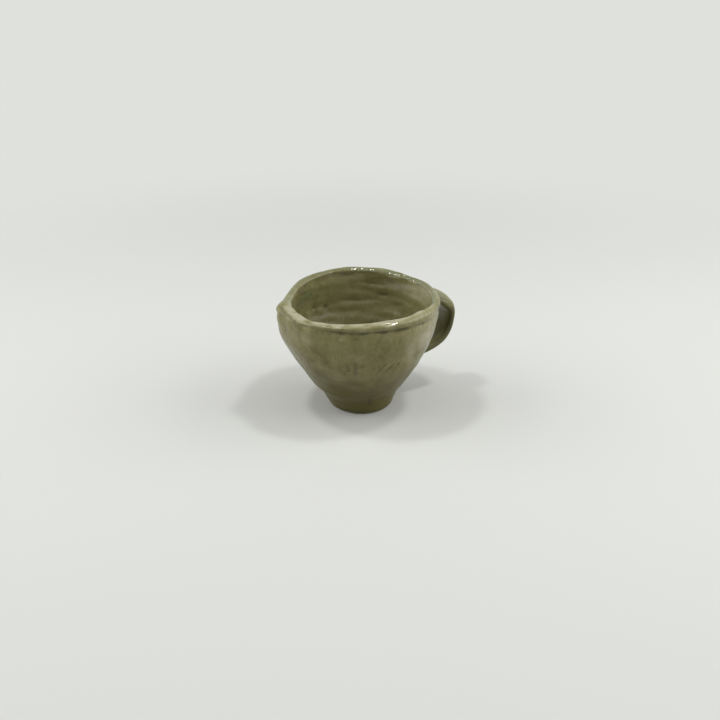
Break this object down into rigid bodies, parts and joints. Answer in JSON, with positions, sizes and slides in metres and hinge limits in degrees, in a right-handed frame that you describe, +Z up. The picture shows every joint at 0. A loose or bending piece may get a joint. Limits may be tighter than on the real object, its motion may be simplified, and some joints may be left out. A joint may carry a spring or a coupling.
{
  "type": "espresso cup",
  "caption": "Small hand-built glazed clay cup: a conical bowl on a short round foot, with an uneven rolled lip and an ear-shaped strap handle.",
  "frame": {"origin": "centre of the foot's flat underside, where the cup stands", "axes": "+Z up through the mouth, +X towards the handle, +Y to the handle's left seen from outside"},
  "size_m": [0.0815, 0.0688, 0.051],
  "materials": {
    "glazed_clay": "satin olive green glaze, paler on the lip, with brushed and pooled patches",
    "foot_clay": "thin dark olive glaze on the side, bare clay underneath"
  },
  "bodies": {
    "root": {"foot_disc": "foot_clay", "wall": "glazed_clay", "rim_coil": "glazed_clay", "handle_strap": "glazed_clay", "upper_joint": "glazed_clay", "lower_joint": "glazed_clay"}
  },
  "joints": []
}
